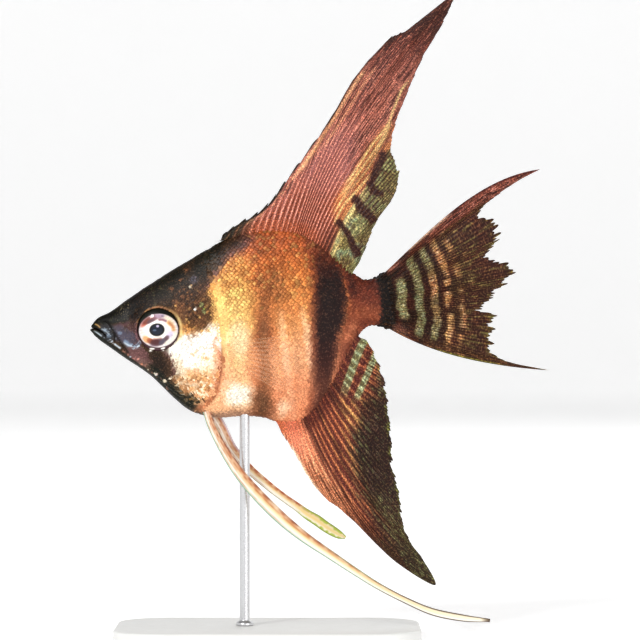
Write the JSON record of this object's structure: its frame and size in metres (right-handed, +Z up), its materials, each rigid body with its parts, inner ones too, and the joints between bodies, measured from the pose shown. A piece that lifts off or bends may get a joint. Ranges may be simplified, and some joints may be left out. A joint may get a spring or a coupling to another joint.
{
  "type": "freshwater angelfish display model",
  "caption": "Life-size still model of a freshwater angelfish, a tall thin disc of a body with long swept dorsal and anal fins and trailing feelers, held nose down on a rod and flat base.",
  "frame": {"origin": "middle of the whole model's length and width, on the floor under the base", "axes": "+Z up, +X toward the tail fin, -X toward the snout, -Y toward the fish's own left side, which faces the viewer"},
  "size_m": [0.1086, 0.046, 0.1529],
  "materials": {
    "dark_skin": "wet satin skin, near black with green and brown specks",
    "blue_grey_skin": "wet satin skin, blue-grey",
    "gold_brown_scales": "small wet scales, gold to salmon with dark upright bars",
    "red_brown_scales": "small wet scales, red-brown",
    "silver_cover": "pearly white with peach and brown mottling",
    "pearl_eye": "clear dome over a pearl iris with a dark pupil",
    "maroon_rays": "salmon rays over dark maroon membrane",
    "brown_green_rays": "brown membrane with green and tan bars",
    "clear_rays": "nearly clear",
    "cream_feelers": "cream with an orange-brown streak",
    "white_lacquer": "satin white lacquer",
    "brushed_steel": "brushed"
  },
  "bodies": {
    "root": {"head": "dark_skin", "lower_jaw": "blue_grey_skin", "trunk": "gold_brown_scales", "tail_stalk": "red_brown_scales", "gill_cover_left": "silver_cover", "gill_cover_right": "silver_cover", "eye_left": "pearl_eye", "eye_right": "pearl_eye", "dorsal_fin": "maroon_rays", "anal_fin": "maroon_rays", "caudal_fin": "brown_green_rays", "pectoral_fin_left": "clear_rays", "pectoral_fin_right": "clear_rays", "pelvic_fin_left": "cream_feelers", "pelvic_fin_right": "cream_feelers", "stand_base": "white_lacquer", "stand_rod": "brushed_steel"}
  },
  "joints": []
}
